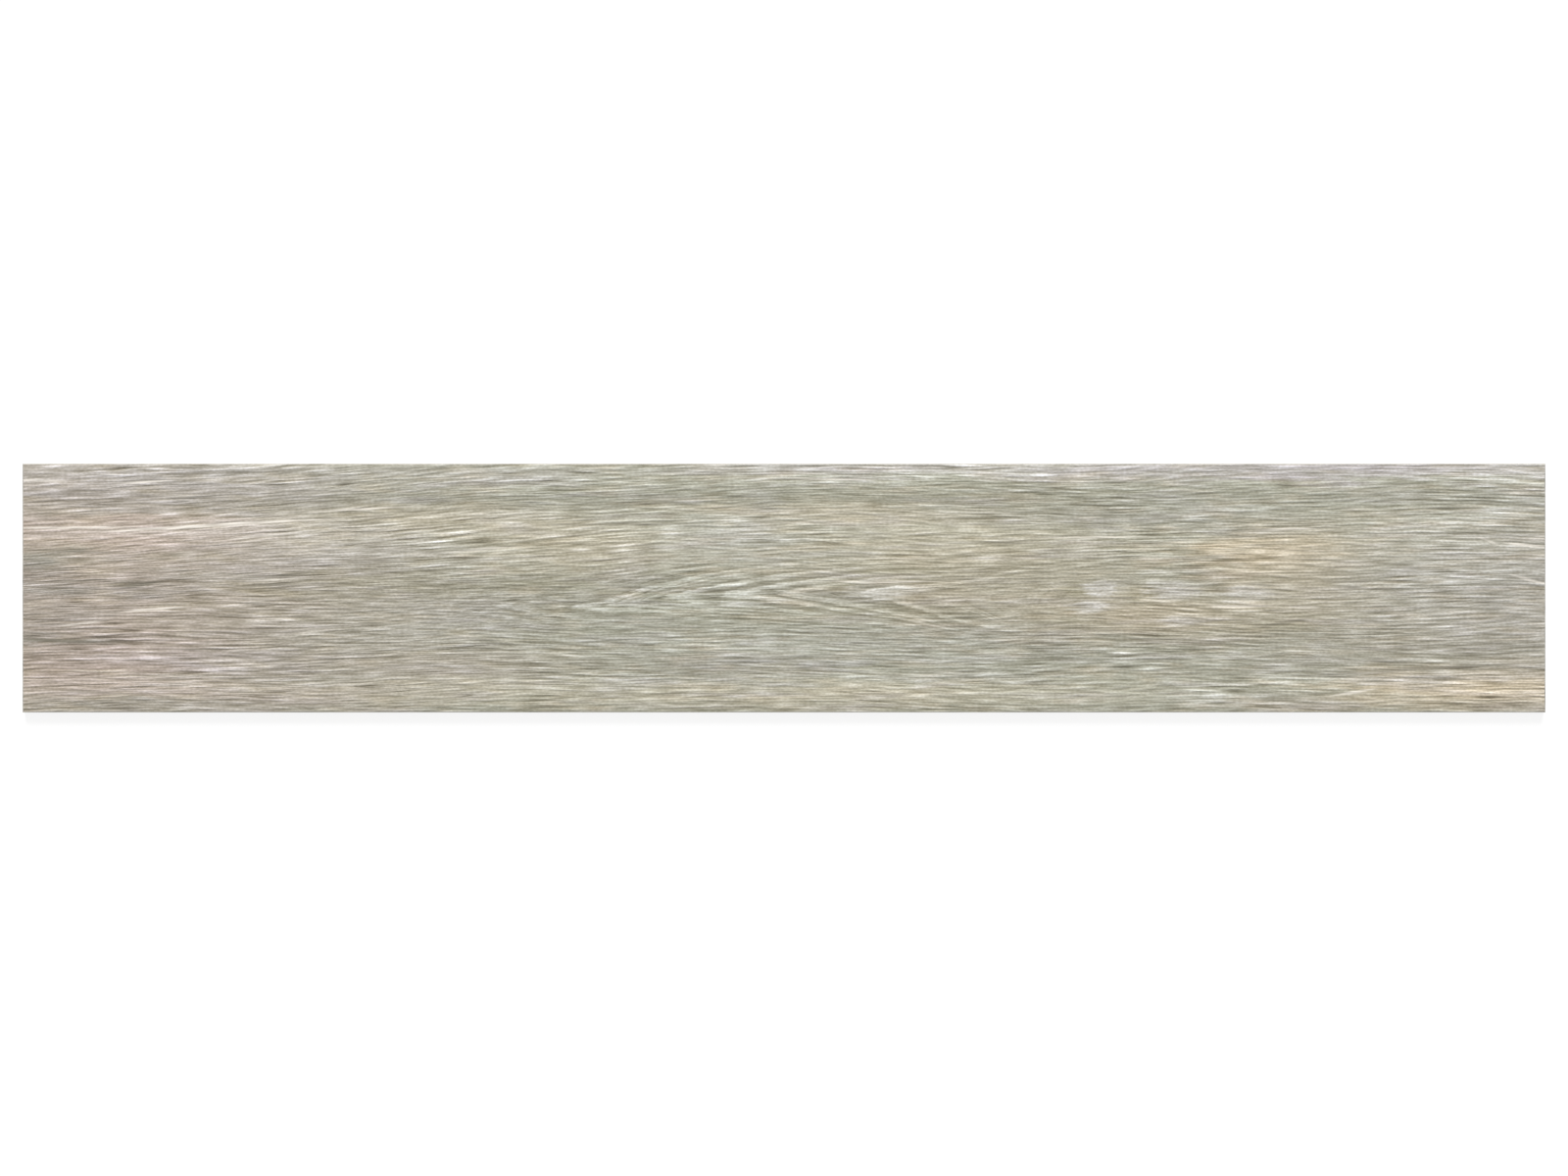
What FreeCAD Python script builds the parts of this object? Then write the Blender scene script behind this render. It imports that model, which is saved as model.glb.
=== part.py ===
"""Wood look porcelain plank tile: one pressed, fired and edge-ground slab.

The tile lies face up. X runs along the plank, Y across it and Z up through its thickness.
The origin is the centre of the plane that the back's ribs stand on. All sizes are in millimetres.
The face is flat here, because the grain in it is fine relief. The keyed back is modelled in full:
a grid of shallow pockets with drafted walls and clipped corners, which the mortar keys into.
"""

import FreeCAD, Part
import math
import os

# Ground sizes of the plank
LENGTH = 1200.0
WIDTH = 196.0
THICKNESS = 9.5

# Edges: the ground chamfer round the face, and the small arris round the back
FACE_CHAMFER = 0.8
BACK_ARRIS = 0.3

# Keyed back: pockets in a grid, with ribs between them and a plain land round them
POCKET_PITCH = 24.0
RIB_WIDTH = 5.0
POCKET_DEPTH = 1.0
POCKET_DRAFT_DEG = 40.0
POCKET_CORNER = 3.0
LEAST_LAND = 4.0

# How far the cutting shapes start outside the back, so that they leave no skin
CUT_START = 0.5

NODE = "plank_tile"


def pocket_count(span):
    """How many pockets fit across a span with at least the least land beyond the last ones."""
    room = span - 2 * LEAST_LAND + RIB_WIDTH
    return max(0, int(math.floor(room / POCKET_PITCH)))


def pocket_places(span):
    """Centre lines of the pockets across a span, in step with the pitch and centred on the tile."""
    count = pocket_count(span)
    return [(index - (count - 1) / 2) * POCKET_PITCH for index in range(count)]


def clipped_square(side, clip, height):
    """Corner points at a height of a square about the Z axis with its four corners clipped."""
    half = side / 2
    inner = half - clip
    corners = [
        (half, -inner),
        (half, inner),
        (inner, half),
        (-inner, half),
        (-half, inner),
        (-half, -inner),
        (-inner, -half),
        (inner, -half),
    ]
    return [FreeCAD.Vector(x, y, height) for x, y in corners]


def flat_face(points):
    """The flat face inside a closed run of points."""
    return Part.Face(Part.makePolygon(points + points[:1]))


def pocket_cutter():
    """One pocket's shape: wider at the back's plane than at its floor, as the punch has to draw."""
    mouth = POCKET_PITCH - RIB_WIDTH
    inset_per_height = math.tan(math.radians(POCKET_DRAFT_DEG))
    # With every wall set in by 1, a clipped corner's legs get shorter by this much.
    clip_per_inset = 2 - math.sqrt(2)

    def outline(height):
        inset = height * inset_per_height
        return clipped_square(mouth - 2 * inset, POCKET_CORNER - clip_per_inset * inset, height)

    start = outline(-CUT_START)
    floor = outline(POCKET_DEPTH)
    faces = [flat_face(start), flat_face(floor)]
    for index in range(len(start)):
        after = (index + 1) % len(start)
        faces.append(flat_face([start[index], start[after], floor[after], floor[index]]))
    return Part.makeSolid(Part.makeShell(faces))


def edges_at(shape, height):
    """The outer straight edges of a box that lie at one height."""
    tolerance = 1e-6
    return [
        edge
        for edge in shape.Edges
        if all(abs(vertex.Point.z - height) < tolerance for vertex in edge.Vertexes)
    ]


def ground_slab():
    """The slab with its four ground sides, its face chamfer and its back arris."""
    corner = FreeCAD.Vector(-LENGTH / 2, -WIDTH / 2, 0)
    slab = Part.makeBox(LENGTH, WIDTH, THICKNESS, corner)
    slab = slab.makeChamfer(FACE_CHAMFER, edges_at(slab, THICKNESS))
    return slab.makeChamfer(BACK_ARRIS, edges_at(slab, 0))


def plank_tile():
    """The finished tile: the ground slab with every pocket of its keyed back cut in one step."""
    pocket = pocket_cutter()
    pockets = [
        pocket.translated(FreeCAD.Vector(x, y, 0))
        for x in pocket_places(LENGTH)
        for y in pocket_places(WIDTH)
    ]
    slab = ground_slab()
    if not pockets:
        return slab
    return slab.cut(Part.makeCompound(pockets))


def main():
    """Builds the tile, prints its facts and writes its file."""
    tile = plank_tile()
    solids = tile.Solids
    box = tile.BoundBox
    pockets = pocket_count(LENGTH) * pocket_count(WIDTH)
    print(f"{NODE}: {len(solids)} solid, {len(tile.Faces)} faces")
    print(f"{NODE}: {box.XLength:.2f} x {box.YLength:.2f} x {box.ZLength:.2f} mm")
    print(f"{NODE}: {pockets} pockets, volume {tile.Volume / 1e6:.4f} litres")
    os.makedirs("parts", exist_ok=True)
    solids[0].exportStep(f"parts/{NODE}.step")


main()
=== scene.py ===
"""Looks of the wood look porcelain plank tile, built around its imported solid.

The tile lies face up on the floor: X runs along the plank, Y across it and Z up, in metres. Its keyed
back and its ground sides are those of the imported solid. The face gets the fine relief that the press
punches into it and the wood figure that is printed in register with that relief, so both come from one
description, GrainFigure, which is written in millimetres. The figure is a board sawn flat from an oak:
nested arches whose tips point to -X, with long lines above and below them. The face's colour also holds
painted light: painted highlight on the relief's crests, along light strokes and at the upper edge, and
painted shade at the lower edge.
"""

import logging
import math
from collections.abc import Sequence
from dataclasses import dataclass
from enum import Enum, IntEnum

import bmesh
import bpy
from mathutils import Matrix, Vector


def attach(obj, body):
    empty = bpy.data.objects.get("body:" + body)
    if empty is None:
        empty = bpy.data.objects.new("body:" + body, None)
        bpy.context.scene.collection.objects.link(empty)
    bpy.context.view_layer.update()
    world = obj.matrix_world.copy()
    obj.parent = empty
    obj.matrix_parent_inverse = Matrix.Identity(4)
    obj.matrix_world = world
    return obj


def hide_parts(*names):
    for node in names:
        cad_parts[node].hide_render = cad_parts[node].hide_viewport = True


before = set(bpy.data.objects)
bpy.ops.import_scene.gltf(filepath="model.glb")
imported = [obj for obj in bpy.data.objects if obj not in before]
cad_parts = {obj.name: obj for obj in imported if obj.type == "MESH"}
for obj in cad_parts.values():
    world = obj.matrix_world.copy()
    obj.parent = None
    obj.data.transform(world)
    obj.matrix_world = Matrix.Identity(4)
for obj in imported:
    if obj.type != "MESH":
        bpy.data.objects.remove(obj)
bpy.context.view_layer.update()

log = logging.getLogger("plank_tile")

NODE = "plank_tile"
BODY = "root"
PIECE = "porcelain_plank"
BAKE_MAP = "OFBake"

MM = 0.001

# How far apart the patterns of two seeds lie in the noise, and what brings its swing to about 1
SEED_STEP = (17.31, 9.77)
NOISE_GAIN = 3.2

# The points of a curve: places along it, and what it is there
Points = Sequence[tuple[float, float]]


class Seed(IntEnum):
    """Which pattern of the noise each part of the looks takes. Some parts use the next ones as well."""

    WANDER = 1
    TEETH = 2
    DRIFT = 3
    LINES = 4
    BANDS = 6
    STREAKS = 11
    DASHES = 14
    FIBRES = 21
    LIGHT_THREADS = 24
    DARK_THREADS = 27
    PRINT_ALONG = 31
    PRINT_ACROSS = 32
    PRINT_GRIT = 33
    GRINDING = 41
    BODY_GRIT = 42
    CURLS = 47
    KILN_CLOUD = 51
    BACK_GRIT = 52
    KILN_DRAG = 53


def linear(red: float, green: float, blue: float) -> tuple[float, float, float, float]:
    """Turns a screen colour into the one that a shader works with.

    Args:
        red: The red part, 0 to 255.
        green: The green part, 0 to 255.
        blue: The blue part, 0 to 255.

    Returns:
        The linear colour with full alpha.
    """

    def channel(value: float) -> float:
        """One part of the colour, by the sRGB curve."""
        share = value / 255
        return share / 12.92 if share <= 0.04045 else ((share + 0.055) / 1.055) ** 2.4

    return (channel(red), channel(green), channel(blue), 1.0)


class Value:
    """A number, colour or vector that a node gives, which maths can be written with."""

    def __init__(self, nodes: "Nodes", socket: bpy.types.NodeSocket) -> None:
        """Wraps an output socket."""
        self.nodes = nodes
        self.socket = socket

    def __add__(self, other: "Value | float") -> "Value":
        """This plus the other."""
        return self.nodes.maths("ADD", self, other)

    __radd__ = __add__

    def __sub__(self, other: "Value | float") -> "Value":
        """This less the other."""
        return self.nodes.maths("SUBTRACT", self, other)

    def __rsub__(self, other: "Value | float") -> "Value":
        """The other less this."""
        return self.nodes.maths("SUBTRACT", other, self)

    def __mul__(self, other: "Value | float") -> "Value":
        """This times the other."""
        return self.nodes.maths("MULTIPLY", self, other)

    __rmul__ = __mul__

    def __truediv__(self, other: "Value | float") -> "Value":
        """This over the other."""
        return self.nodes.maths("DIVIDE", self, other)

    def __rtruediv__(self, other: "Value | float") -> "Value":
        """The other over this."""
        return self.nodes.maths("DIVIDE", other, self)

    def squared(self) -> "Value":
        """This times itself."""
        return self * self

    def root(self) -> "Value":
        """The square root."""
        return self.nodes.maths("SQRT", self)

    def size(self) -> "Value":
        """The value without its sign."""
        return self.nodes.maths("ABSOLUTE", self)

    def sign(self) -> "Value":
        """1 above nought and -1 below it."""
        return self.nodes.maths("SIGN", self)

    def power_of_e(self) -> "Value":
        """The number e to the power of this."""
        return self.nodes.maths("EXPONENT", self)

    def whole(self) -> "Value":
        """The whole number at or below this."""
        return self.nodes.maths("FLOOR", self)

    def above(self, limit: "Value | float") -> "Value":
        """1 where this is over the limit, and 0 elsewhere."""
        return self.nodes.maths("GREATER_THAN", self, limit)

    def least(self, other: "Value | float") -> "Value":
        """The smaller of the two."""
        return self.nodes.maths("MINIMUM", self, other)

    def most(self, other: "Value | float") -> "Value":
        """The larger of the two."""
        return self.nodes.maths("MAXIMUM", self, other)

    def bell(self, middle: float, spread: float) -> "Value":
        """1 at the middle, falling off smoothly to both sides of it."""
        away = (self - middle) / spread
        return (-1 * away.squared()).power_of_e()

    def rise(self, low: float, high: float, top: float = 1.0) -> "Value":
        """A smooth step.

        Args:
            low: Where it starts from 0.
            high: Where it reaches the top.
            top: How high the top is.

        Returns:
            The step's height.
        """
        settings = {"interpolation_type": "SMOOTHSTEP"}
        inputs = {"Value": self, "From Min": low, "From Max": high, "To Max": top}
        return Value(self.nodes, self.nodes.add("ShaderNodeMapRange", settings, inputs).outputs[0])


class Nodes:
    """Makes the nodes of one tree, a material's or a Geometry Nodes one."""

    def __init__(self, tree: bpy.types.NodeTree) -> None:
        """Starts on a tree."""
        self.tree = tree

    def add(self, kind: str, settings: dict | None = None, inputs: dict | None = None) -> bpy.types.Node:
        """Adds one node.

        Args:
            kind: The node's type.
            settings: What is set on the node itself, ahead of its sockets. "points" fills a curve.
            inputs: A number, colour, vector, material or Value for each socket, by name or number.

        Returns:
            The node.
        """
        node = self.tree.nodes.new(kind)
        for name, setting in (settings or {}).items():
            if name == "points":
                self.shape_curve(node.mapping, setting)
            else:
                setattr(node, name, setting)
        for name, given in (inputs or {}).items():
            if isinstance(given, Value):
                self.tree.links.new(given.socket, node.inputs[name])
            else:
                node.inputs[name].default_value = given
        return node

    @staticmethod
    def shape_curve(mapping: bpy.types.CurveMapping, points: Points) -> None:
        """Lays a curve through points whose two parts both run from 0 to 1.

        Args:
            mapping: The node's curve, which has two points so far.
            points: The points that it is to run through.
        """
        curve = mapping.curves[0]
        while len(curve.points) < len(points):
            curve.points.new(0.5, 0.5)
        for point, place in zip(curve.points, sorted(points)):
            point.location = place
            point.handle_type = "AUTO_CLAMPED"
        mapping.update()

    def maths(self, operation: str, *terms: "Value | float") -> Value:
        """One step of arithmetic."""
        node = self.add("ShaderNodeMath", {"operation": operation}, dict(enumerate(terms)))
        return Value(self, node.outputs[0])

    def vector_maths(self, operation: str, *terms: "Value | tuple", output: int = 0, **inputs) -> Value:
        """One step of vector arithmetic, whose named inputs are such as Scale."""
        node = self.add("ShaderNodeVectorMath", {"operation": operation}, dict(enumerate(terms)) | inputs)
        return Value(self, node.outputs[output])

    def vector(self, x: "Value | float", y: "Value | float", z: "Value | float" = 0.0) -> Value:
        """A vector of three numbers."""
        return Value(self, self.add("ShaderNodeCombineXYZ", None, {0: x, 1: y, 2: z}).outputs[0])

    def parts(self, vector: Value) -> tuple[Value, Value, Value]:
        """The three numbers of a vector."""
        node = self.add("ShaderNodeSeparateXYZ", None, {0: vector})
        return tuple(Value(self, socket) for socket in node.outputs)

    def mix(self, share: "Value | float", first: "Value | tuple", second: "Value | tuple") -> Value:
        """The first colour, with a share of the second one."""
        node = self.add("ShaderNodeMix", {"data_type": "RGBA"}, {0: share, 6: first, 7: second})
        return Value(self, node.outputs[2])

    def curve(self, value: Value, points: Points) -> Value:
        """Reads a curve that is given by its points.

        Args:
            value: Where on the curve to read.
            points: The places along the curve, and what it is there.

        Returns:
            The curve's height at that place.
        """
        starts, heights = zip(*sorted(points))
        first, length = starts[0], starts[-1] - starts[0]
        low, rise = min(heights), max(heights) - min(heights)
        settings = {"points": [((at - first) / length, (height - low) / rise) for at, height in points]}
        node = self.add("ShaderNodeFloatCurve", settings, {"Value": (value - first) / length})
        return Value(self, node.outputs[0]) * rise + low

    def noise(
        self,
        along: "Value | float",
        across: "Value | float",
        seed: int,
        detail: float = 0.0,
        roughness: float = 0.55,
    ) -> Value:
        """Smooth noise over two coordinates.

        Args:
            along: The first coordinate, in steps of the noise.
            across: The second coordinate, in steps of the noise.
            seed: Which of many such patterns to take.
            detail: How many finer layers lie on it.
            roughness: How strong each finer layer is, as a share of the one before.

        Returns:
            A value about nought, seldom beyond 1 and -1.
        """
        place = self.vector(along + seed * SEED_STEP[0], across + seed * SEED_STEP[1])
        settings = {"noise_dimensions": "2D"}
        inputs = {"Vector": place, "Scale": 1.0, "Detail": detail, "Roughness": roughness}
        fac = Value(self, self.add("ShaderNodeTexNoise", settings, inputs).outputs[0])
        return (fac - 0.5) * NOISE_GAIN


@dataclass(frozen=True)
class GrainFields:
    """What the figure says at each point of the face, as values in one tree, in millimetres."""

    x: Value
    y: Value
    level: Value
    arches: Value
    lines: Value
    streaks: Value
    threads: Value
    bands: Value
    profile: Value


@dataclass(frozen=True)
class Blend:
    """How strongly each part of the figure tells in something, such as the tone of the print."""

    bands: float
    arches: float
    lines: float
    streaks: float

    def of(self, fields: GrainFields) -> Value:
        """The sum of the parts, each by its share."""
        broad = self.bands * fields.bands + self.arches * fields.arches
        return broad + self.lines * fields.lines + self.streaks * fields.streaks


@dataclass(frozen=True)
class GrainFigure:
    """The flat-sawn oak figure. All lengths are in millimetres, from the middle of the face.

    Each year ring shows as an arch whose tip lies on the axis and points to -X. Its two arms spread at a
    steady slope, and bend to run almost along the plank where they are further from the axis. So every
    point of the face lies on one arch, and the place of that arch's tip names the ring.
    """

    # Where the middle line of the arches runs, as places along the plank and across it
    axis: Points = (
        (-600, 4), (-420, -4), (-230, -14), (-165, -13), (-90, -6), (0, -4),
        (60, -4), (185, -12), (290, -10), (380, -13), (460, -21), (600, -26),
    )
    # The arms' slope near the axis, from how far off they bend to the plank, and how late above and below
    arm_slope: float = 0.14
    arm_reach: float = 13.0
    arm_bend_above: float = 5.0
    arm_bend_below: float = 2.0
    # How far past the straight part of the arms the rings lie too close together to be seen
    arm_crowd_above: float = 40.0
    arm_crowd_below: float = 16.0
    # How blunt the tips are along the plank, and how far from the axis the arches still show there
    bluntness: Points = (
        (-600, 1.5), (40, 1.5), (150, 6), (235, 26), (330, 22), (420, 8), (600, 6),
    )
    arch_reach: Points = (
        (-600, 20), (-200, 26), (-90, 40), (60, 48), (150, 30), (240, 16), (600, 14),
    )
    # How clearly the arches show along the plank, next to where they are clearest
    presence: Points = (
        (-600, 0.1), (-330, 0.15), (-230, 0.4), (-170, 0.9), (-60, 1), (90, 1), (200, 0.7), (600, 0.5),
    )
    # How much of the arms' slope the streaks take along the plank
    lean: Points = (
        (-600, 0.3), (-320, 0.4), (-210, 0.8), (-40, 0.8), (60, 0.6), (215, 0.5), (330, 0.3), (470, 0.0),
        (600, -0.6),
    )
    # How far all long lines lie off to one side along the plank, and the share of it at each place across
    drop: Points = (
        (-600, -19), (-450, -12), (-300, -6), (-180, -1.5), (-60, 0), (200, 0), (400, 1.5), (600, 2),
    )
    fan: Points = (
        (-98, 0.3), (-50, 0.45), (0, 0.9), (45, 1.45), (75, 1.3), (98, 1.0),
    )
    # Tips of the arches that stand out, along the axis, each with its strength
    tips: Points = (
        (-286, 0.2), (-229, 0.4), (-168, 0.9), (-141, 0.9), (-118, 0.4), (-94, 1.0), (-44, 1.0), (-8, 0.9),
        (54, 0.9), (118, 0.4), (185, 0.3), (240, 0.2), (290, 0.2), (351, 0.3), (420, 0.2), (487, 0.4),
    )
    # Half the way from the dark line before a tip to the light one behind it, and the dark one's share
    tip_sharpness: float = 3.0
    tip_dark: float = 0.8
    # Where the arches stand clear of the streaks, along the plank
    clearness: Points = (
        (-600, 0), (-230, 0), (-165, 0.8), (-60, 1), (90, 1), (160, 0.3), (240, 0), (600, 0),
    )
    # How far from the axis they still do so, and how much stronger it makes them
    clear_breadth: float = 24.0
    clear_gain: float = 0.6
    # How far behind its tip an arch has lost most of its tone, and the share of it that is left
    tip_fade: float = 22.0
    tip_rest: float = 0.35
    # How far outside the first and the last tip there is no tone
    tip_margin: float = 90.0
    # How far bundles of fibres pull the tips of the arches out into teeth, along the plank
    tooth: Points = ((-600, 9), (150, 10), (235, 26), (330, 26), (600, 10))
    # The size of one bundle, and how far from the axis there are teeth
    tooth_width: float = 2.1
    tooth_length: float = 40.0
    tooth_breadth: float = 20.0
    # The slow wander of all lines across the plank, and the size of its waves
    wander: float = 2.6
    wander_length: float = 230.0
    wander_width: float = 60.0
    # The drift that moves the tips and makes the streaks stronger and weaker, and the size of its waves
    tip_drift: float = 4.0
    streak_drift: float = 0.6
    drift_length: float = 120.0
    drift_width: float = 30.0
    # Widths and lengths of the long lines, the short streaks and the broad bands
    line_pitch: float = 17.0
    line_length: float = 160.0
    streak_width: float = 2.1
    streak_length: float = 68.0
    band_width: float = 5.6
    band_length: float = 220.0
    # The dashes that the streaks break into: their length, and the streaks' strength with them and alone
    dash_length: float = 22.0
    dash_share: float = 0.6
    dash_rest: float = 0.87
    # How long the cells are in which the streaks keep one slope, and how far apart the patterns of two lie
    streak_cell: float = 72.0
    streak_cell_step: float = 7.3
    # Threads, the thin sharp lines: their lengths, how far apart they run and how thin they are
    thread_length: float = 120.0
    thread_pitch: float = 4.4
    thread_arm_pitch: float = 26.0
    thread_width: float = 0.2
    # How long and wide the groups are in which they show, and over what step of the noise they come in
    thread_group_length: float = 45.0
    thread_group_width: float = 8.0
    thread_group_rise: tuple[float, float] = (0.05, 0.7)
    # How strong the threads are along the plank
    thread_gain: Points = (
        (-600, 1.5), (-300, 1.4), (-80, 0.9), (420, 0.9), (600, 1.3),
    )
    # What is left of the long lines away from the arches, and what the arches take from lines and streaks
    line_rest: float = 0.15
    line_loss_where_clear: float = 0.4
    streak_loss_by_arches: float = 0.15
    streak_loss_where_clear: float = 0.42
    # Where the grain curls: the middle and half the reach along the axis, the reach across and the slope
    curl_place: float = -225.0
    curl_reach: float = 95.0
    curl_breadth: float = 22.0
    curl_slope: float = 0.16
    # The size of the curls, their strength, and what they take from the streaks
    curl_length: float = 11.0
    curl_width: float = 3.0
    curl_gain: float = 0.7
    curl_loss: float = 0.5
    # The tone across the board from its lower edge to its upper one, along its whole length: printed bands,
    # with painted shade at the lower edge and a painted highlight at the upper edge, on the lamp's side
    profile: Points = (
        (-98, 0.89), (-92, 0.93), (-80, 1.06), (-73, 1.04), (-66, 0.92), (-55, 0.94), (-44, 0.91),
        (-28, 0.94), (-10, 0.96), (4, 0.93), (16, 0.97), (32, 1.05), (44, 1.09), (58, 1.04), (64, 1.0),
        (69, 0.89), (76, 0.96), (84, 1.05), (93, 1.08), (98, 1.22),
    )
    # Nearer to the axis than this, streaks run along the plank and not along the arches
    calm: float = 7.0
    # The relief's mean level, 0 to 1, and how far each part of the figure moves it
    relief_mean: float = 0.5
    relief_blend: Blend = Blend(bands=0.2, arches=0.12, lines=0.3, streaks=0.5)

    def fields(self, nodes: Nodes, place: Value) -> GrainFields:
        """Works the figure out.

        Args:
            nodes: The maker of the tree's nodes.
            place: The point on the face, in metres.

        Returns:
            The figure's values at that point.
        """
        in_mm = nodes.vector_maths("SCALE", place, Scale=1 / MM)
        x, y, _ = nodes.parts(in_mm)
        wander = nodes.noise(x / self.wander_length, y / self.wander_width, Seed.WANDER) * self.wander
        off_axis = y - nodes.curve(x, self.axis) + wander
        teeth = nodes.noise(x / self.tooth_length, y / self.tooth_width, Seed.TEETH, 1.0)
        teeth = teeth * off_axis.bell(0, self.tooth_breadth) * nodes.curve(x, self.tooth)
        drift = nodes.noise(x / self.drift_length, y / self.drift_width, Seed.DRIFT)
        blunt = nodes.curve(x, self.bluntness)
        spread = ((off_axis.squared() + blunt.squared()).root() - blunt) / self.arm_slope
        above, below = self.beyond(off_axis)
        tip = x - spread - above.squared() / self.arm_bend_above - below.squared() / self.arm_bend_below
        wide = (1 - above / self.arm_crowd_above - below / self.arm_crowd_below).most(0.0)
        fade = (off_axis / nodes.curve(x, self.arch_reach)).bell(0, 1)
        fade = fade * nodes.curve(x, self.presence)
        clear = nodes.curve(x, self.clearness) * off_axis.bell(0, self.clear_breadth)
        arches = self.arches(nodes, tip + self.tip_drift * drift + teeth)
        arches = arches * fade * (1 + self.clear_gain * clear)
        level = y + wander - nodes.curve(x, self.drop) * nodes.curve(y, self.fan)
        lines = nodes.noise(x / self.line_length, tip / self.line_pitch, Seed.LINES, 1.0, 0.9)
        shown = self.line_rest + (1 - self.line_rest) * fade - self.line_loss_where_clear * clear
        lines = lines * wide * shown
        strength = 1 + self.streak_drift * drift - self.streak_loss_by_arches * fade
        strength = strength - self.streak_loss_where_clear * clear
        streaks = self.streaks(nodes, x, y, level) * strength
        curled = x.bell(self.curl_place, self.curl_reach) * off_axis.bell(0, self.curl_breadth)
        sheared = y - self.curl_slope * x
        curls = nodes.noise(x / self.curl_length, sheared / self.curl_width, Seed.CURLS, 1.0, 0.6)
        streaks = streaks * (1 - self.curl_loss * curled) + self.curl_gain * curls * curled
        threads = self.threads(nodes, x, level, tip, fade * wide) * nodes.curve(x, self.thread_gain)
        bands = nodes.noise(x / self.band_length, level / self.band_width, Seed.BANDS, 2.0, 0.8)
        # Printed tone across the board, with painted shade at the lower edge and a painted highlight at the
        # upper one
        profile = nodes.curve(y + wander, self.profile)
        return GrainFields(x, y, level, arches, lines, streaks, threads, bands, profile)

    def beyond(self, off_axis: Value) -> tuple[Value, Value]:
        """How far a point lies past the straight part of the arms, above the axis and below it."""
        return (off_axis - self.arm_reach).most(0.0), (-self.arm_reach - off_axis).most(0.0)

    def arches(self, nodes: Nodes, tip: Value) -> Value:
        """The tone of the arches: dark just outside each tip, light inside it, and fading from there.

        Args:
            nodes: The maker of the tree's nodes.
            tip: The place of the tip of the arch that runs through the point.

        Returns:
            The tone, about nought.
        """
        points = [(self.tips[0][0] - self.tip_margin, 0.0)]
        for at, strength in self.tips:
            points.append((at - self.tip_sharpness, -self.tip_dark * strength))
            points.append((at + self.tip_sharpness, strength))
            points.append((at + self.tip_fade, self.tip_rest * strength))
        points.append((self.tips[-1][0] + self.tip_margin, 0.0))
        return nodes.curve(tip, points)

    def slope(self, nodes: Nodes, x: Value, y: Value) -> Value:
        """How steeply the grain runs: as the arches' arms do, but level beside the axis.

        Args:
            nodes: The maker of the tree's nodes.
            x: The place along the plank.
            y: The place across it.

        Returns:
            The slope.
        """
        off_axis = y - nodes.curve(x, self.axis)
        side = off_axis / (off_axis.squared() + self.calm**2).root()
        above, below = self.beyond(off_axis)
        run = above * (2 / self.arm_bend_above) + below * (2 / self.arm_bend_below) + 1 / self.arm_slope
        return side / run * nodes.curve(x, self.lean)

    def streaks(self, nodes: Nodes, x: Value, y: Value, level: Value) -> Value:
        """Short streaks that lie along the grain.

        Two rows of cells overlap by half. In each cell the noise is sheared to the grain's slope at its
        middle, and the rows take turns, each at its strongest in the middle of its cells.

        Args:
            nodes: The maker of the tree's nodes.
            x: The place along the plank.
            y: The place across it.
            level: The same, as the long lines count it.

        Returns:
            The streaks' tone, about nought.
        """
        total: Value | float = 0.0
        power: Value | float = 0.0
        for row, shift in enumerate((0.0, 0.5)):
            cell = (x / self.streak_cell + shift).whole()
            middle = (cell + (0.5 - shift)) * self.streak_cell
            away = x - middle
            share = 1 - away.size() * (2 / self.streak_cell)
            across = level - self.slope(nodes, middle, y) * away
            along = x / self.streak_length + cell * self.streak_cell_step
            part = nodes.noise(along, across / self.streak_width, Seed.STREAKS + row, 1.0)
            total = part * share + total
            power = share.squared() + power
        dashes = nodes.noise(x / self.dash_length, level / self.streak_width, Seed.DASHES)
        return total / power.root() * (self.dash_rest + self.dash_share * dashes)

    def threads(self, nodes: Nodes, x: Value, level: Value, tip: Value, near: Value) -> Value:
        """Thin sharp lines, which run where a long noise crosses nought, and come and go.

        Args:
            nodes: The maker of the tree's nodes.
            x: The place along the plank.
            level: The place across it, as the long lines count it.
            tip: The place of the tip of the arch that runs through the point.
            near: How much the arches show there.

        Returns:
            The light threads less the dark ones.
        """
        total: Value | float = 0.0
        for seed, sign in ((Seed.LIGHT_THREADS, 1.0), (Seed.DARK_THREADS, -1.0)):
            flat = nodes.noise(x / self.thread_length, level / self.thread_pitch, seed)
            arm = nodes.noise(x / self.thread_length, tip / self.thread_arm_pitch, seed + 1)
            group = nodes.noise(x / self.thread_group_length, level / self.thread_group_width, seed + 2)
            shown = group.rise(*self.thread_group_rise, sign)
            thin = [(1 - run.size() / self.thread_width).most(0.0) for run in (flat, arm)]
            total = (thin[0] * (1 - near) + thin[1] * near) * shown + total
        return total

    def height(self, fields: GrainFields) -> Value:
        """The relief, from 0 at its lowest to 1 at its highest."""
        return (self.relief_mean + self.relief_blend.of(fields)).most(0.0).least(1.0)


class Ink(Enum):
    """The print's inks, as the colours that they show on the fired face, and two colours of painted
    highlight: the chalk colour is an ink that also paints the highlight on the relief's crests, and the
    glint colour paints highlight lines only.
    """

    GROUND = linear(173, 172, 155)
    TAN = linear(197, 183, 156)
    ROSE = linear(184, 168, 155)
    HEATHER = linear(190, 184, 184)
    OLIVE = linear(160, 154, 128)
    MIST = linear(190, 189, 178)
    SLATE = linear(150, 147, 136)
    # Chalk is a printed ink, and also the colour of the painted highlight on the relief's crests
    CHALK_AND_HIGHLIGHT = linear(222, 219, 212)
    UMBER = linear(126, 120, 106)
    # Glint is no ink: it paints highlight lines where the relief would catch the lamp
    GLINT = linear(248, 241, 230)


@dataclass(frozen=True)
class Wash:
    """A soft patch of one ink, in millimetres from the middle of the face, which may run at a slope."""

    x: float
    y: float
    half_length: float
    half_width: float
    strength: float
    slope: float = 0.0


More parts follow.
